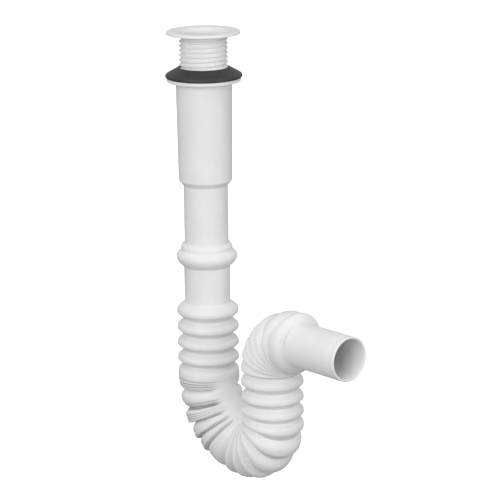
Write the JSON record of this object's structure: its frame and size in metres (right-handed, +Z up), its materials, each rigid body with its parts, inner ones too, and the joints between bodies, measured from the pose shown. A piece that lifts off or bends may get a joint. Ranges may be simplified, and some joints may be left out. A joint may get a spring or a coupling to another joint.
{
  "type": "flexible basin trap",
  "caption": "White plastic basin waste with rubber cone washer, sleeve nut and tube, and a bellows hose bent into a water-seal trap with a plain outlet spigot.",
  "frame": {"origin": "centre of the underside of the waste's flange, where it seats on the basin", "axes": "+Z up along the waste, +X the way the outlet spigot points, +Y completes the right-handed frame"},
  "size_m": [0.213, 0.0662, 0.3863],
  "materials": {
    "moulded_plastic": "satin white injection-moulded polypropylene",
    "blown_plastic": "satin white blow-moulded polypropylene",
    "black_rubber": "matte moulded rubber"
  },
  "bodies": {
    "waste": {"waste_body": "moulded_plastic"},
    "washer": {"basin_washer": "black_rubber"},
    "tail": {"tailpiece": "moulded_plastic"},
    "seal": {"seal_ring": "black_rubber"},
    "hose": {"flexible_hose": "blown_plastic"}
  },
  "joints": [
    {"name": "washer_travel", "type": "slide", "parent": "waste", "child": "washer", "axis": [0, 0, 1], "range_m": [-0.0201, 0.0281]},
    {"name": "tailpiece_turn", "type": "hinge", "parent": "washer", "child": "tail", "pos_m": [0, 0, -0.0377], "axis": [0, 0, 1], "range_deg": [-1800, 2520]},
    {"name": "hose_slip", "type": "slide", "parent": "tail", "child": "seal", "axis": [0, 0, 1], "range_m": [-0.02, 0.045]},
    {"name": "hose_swivel", "type": "hinge", "parent": "seal", "child": "hose", "pos_m": [0, 0, -0.1942], "axis": [0, 0, 1], "continuous": true}
  ],
  "couplings": [
    {"joint": "washer_travel", "follows": "tailpiece_turn", "m_per_rad": 0.00063662}
  ]
}
